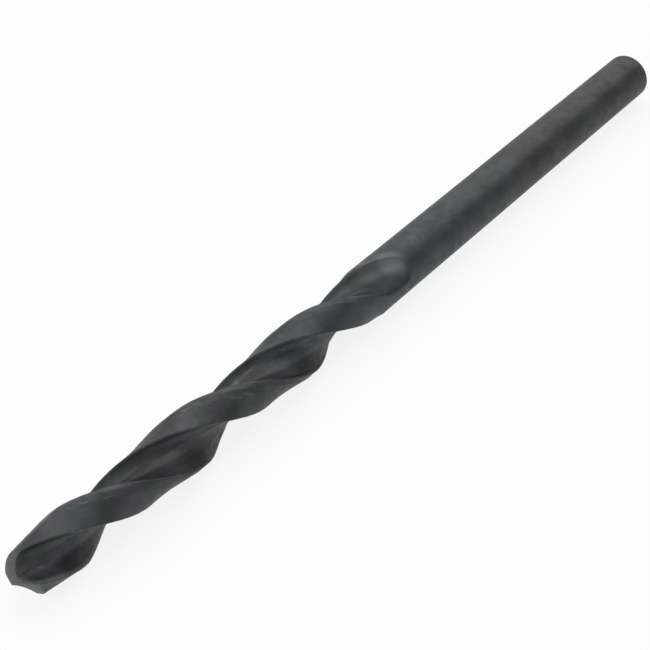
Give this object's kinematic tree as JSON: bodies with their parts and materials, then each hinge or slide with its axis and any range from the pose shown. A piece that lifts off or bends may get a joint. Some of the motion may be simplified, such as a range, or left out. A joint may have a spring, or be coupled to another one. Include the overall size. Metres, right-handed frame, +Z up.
{
  "type": "twist drill bit",
  "caption": "Straight-shank twist drill: a black oxide steel rod with right-hand helical flutes, narrow margins and a ground point, for drilling metal.",
  "frame": {"origin": "on the surface the drill lies on, under the middle of its length", "axes": "+X along the drill's axis from the point to the flat end of the shank, +Z up"},
  "size_m": [0.075, 0.004, 0.004],
  "materials": {
    "black_oxide_steel": "satin black oxide"
  },
  "bodies": {
    "root": {"twist_drill": "black_oxide_steel"}
  },
  "joints": []
}
